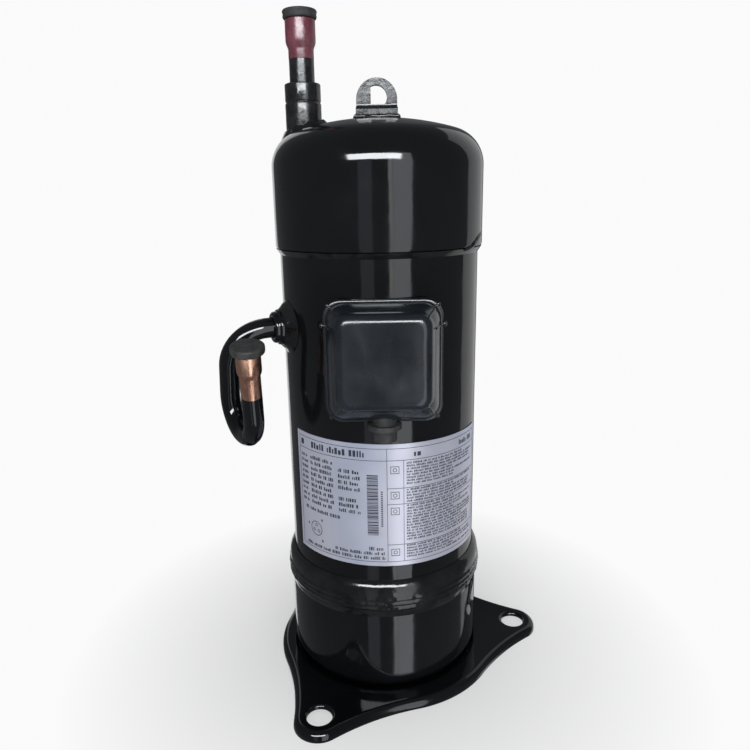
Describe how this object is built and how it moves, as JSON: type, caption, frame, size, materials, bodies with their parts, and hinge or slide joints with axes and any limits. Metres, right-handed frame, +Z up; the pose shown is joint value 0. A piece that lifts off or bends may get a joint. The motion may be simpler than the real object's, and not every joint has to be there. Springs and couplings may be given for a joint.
{
  "type": "hermetic refrigeration compressor",
  "caption": "Tall welded cylindrical scroll compressor on a three-footed base plate, with top suction tube, looped side discharge tube, lifting lug and terminal cover.",
  "frame": {"origin": "on the shell's axis, at the middle of the base plate's flat underside", "axes": "+Z up along the shell's axis; -Y towards the terminal cover; the suction tube stands at -X"},
  "size_m": [0.274, 0.2549, 0.5417],
  "materials": {
    "black_enamel": "gloss black enamel with slight orange peel",
    "copper": "bare copper tube, black enamel on its lower length",
    "maroon_paint": "maroon marking paint over the tube's end, black enamel below",
    "rubber": "matt charcoal rubber",
    "cover_plastic": "satin black moulded plastic",
    "label_foil": "silver-blue printed foil",
    "machined_steel": "machined steel",
    "cast_iron": "machined grey iron",
    "cast_aluminium": "cast aluminium",
    "electrical_steel": "stacked laminations",
    "enamelled_wire": "varnished copper wire",
    "lead_insulation": "woven insulation sleeve",
    "bronze": "bearing bronze",
    "phenolic": "dark moulded resin",
    "brass": "brass"
  },
  "bodies": {
    "shell": {"barrel": "black_enamel", "base_plate": "black_enamel", "bottom_cap": "black_enamel", "top_cap": "black_enamel", "lower_seam_weld": "black_enamel", "upper_seam_weld": "black_enamel", "lifting_lug": "black_enamel", "discharge_socket": "black_enamel", "discharge_weld": "black_enamel", "suction_socket": "black_enamel", "suction_weld": "black_enamel", "name_label": "label_foil", "suction_pipe": "maroon_paint", "discharge_pipe": "copper", "cover_gasket": "rubber", "suction_seal": "rubber", "terminal_block": "phenolic", "terminal_header": "machined_steel", "terminal_guard": "machined_steel", "terminal_pin_1": "brass", "terminal_pin_2": "brass", "terminal_pin_3": "brass", "thrust_washer": "machined_steel", "lower_bearing": "bronze", "main_bearing": "bronze", "lower_bearing_housing": "cast_iron", "main_housing": "cast_iron", "fixed_scroll": "cast_iron", "stator_core": "electrical_steel", "stator_winding": "enamelled_wire", "motor_lead_1": "lead_insulation", "motor_lead_2": "lead_insulation", "motor_lead_3": "lead_insulation", "valve_guide": "machined_steel", "muffler_cover": "machined_steel", "scroll_bolt_1": "machined_steel", "scroll_bolt_2": "machined_steel", "scroll_bolt_3": "machined_steel", "scroll_bolt_4": "machined_steel", "scroll_bolt_5": "machined_steel", "scroll_bolt_6": "machined_steel"},
    "crank": {"crankshaft": "machined_steel", "rotor_core": "electrical_steel", "rotor_cage": "cast_aluminium", "upper_balance_weight": "brass", "lower_balance_weight": "brass", "oil_pickup": "machined_steel"},
    "orbiting": {"orbiting_scroll": "cast_aluminium", "eccentric_bush": "bronze"},
    "oldham": {"oldham_ring": "cast_aluminium"},
    "valve": {"discharge_valve": "machined_steel"},
    "suction_plug_body": {"suction_plug": "rubber"},
    "discharge_plug_body": {"discharge_plug": "rubber"},
    "cover": {"terminal_cover": "cover_plastic", "cable_grommet": "rubber"}
  },
  "joints": [
    {"name": "crank_spin", "type": "hinge", "parent": "shell", "child": "crank", "pos_m": [0, 0, 0.2], "axis": [0, 0, 1], "continuous": true},
    {"name": "scroll_orbit", "type": "hinge", "parent": "crank", "child": "orbiting", "pos_m": [0.005, 0, 0.334], "axis": [0, 0, 1], "continuous": true},
    {"name": "oldham_slide", "type": "slide", "parent": "shell", "child": "oldham", "axis": [0, 1, 0], "range_m": [-0.005, 0.005]},
    {"name": "discharge_valve_lift", "type": "slide", "parent": "shell", "child": "valve", "axis": [0, 0, 1], "range_m": [0, 0.0025]},
    {"name": "suction_plug_pull", "type": "slide", "parent": "shell", "child": "suction_plug_body", "axis": [0, 0, 1], "range_m": [0, 0.03]},
    {"name": "discharge_plug_pull", "type": "slide", "parent": "shell", "child": "discharge_plug_body", "axis": [0.0256, -0.2364, 0.9713], "range_m": [0, 0.03]},
    {"name": "terminal_cover_pull", "type": "slide", "parent": "shell", "child": "cover", "axis": [0, -1, 0], "range_m": [0, 0.045]}
  ],
  "couplings": [
    {"joint": "scroll_orbit", "follows": "crank_spin", "ratio": -1}
  ]
}
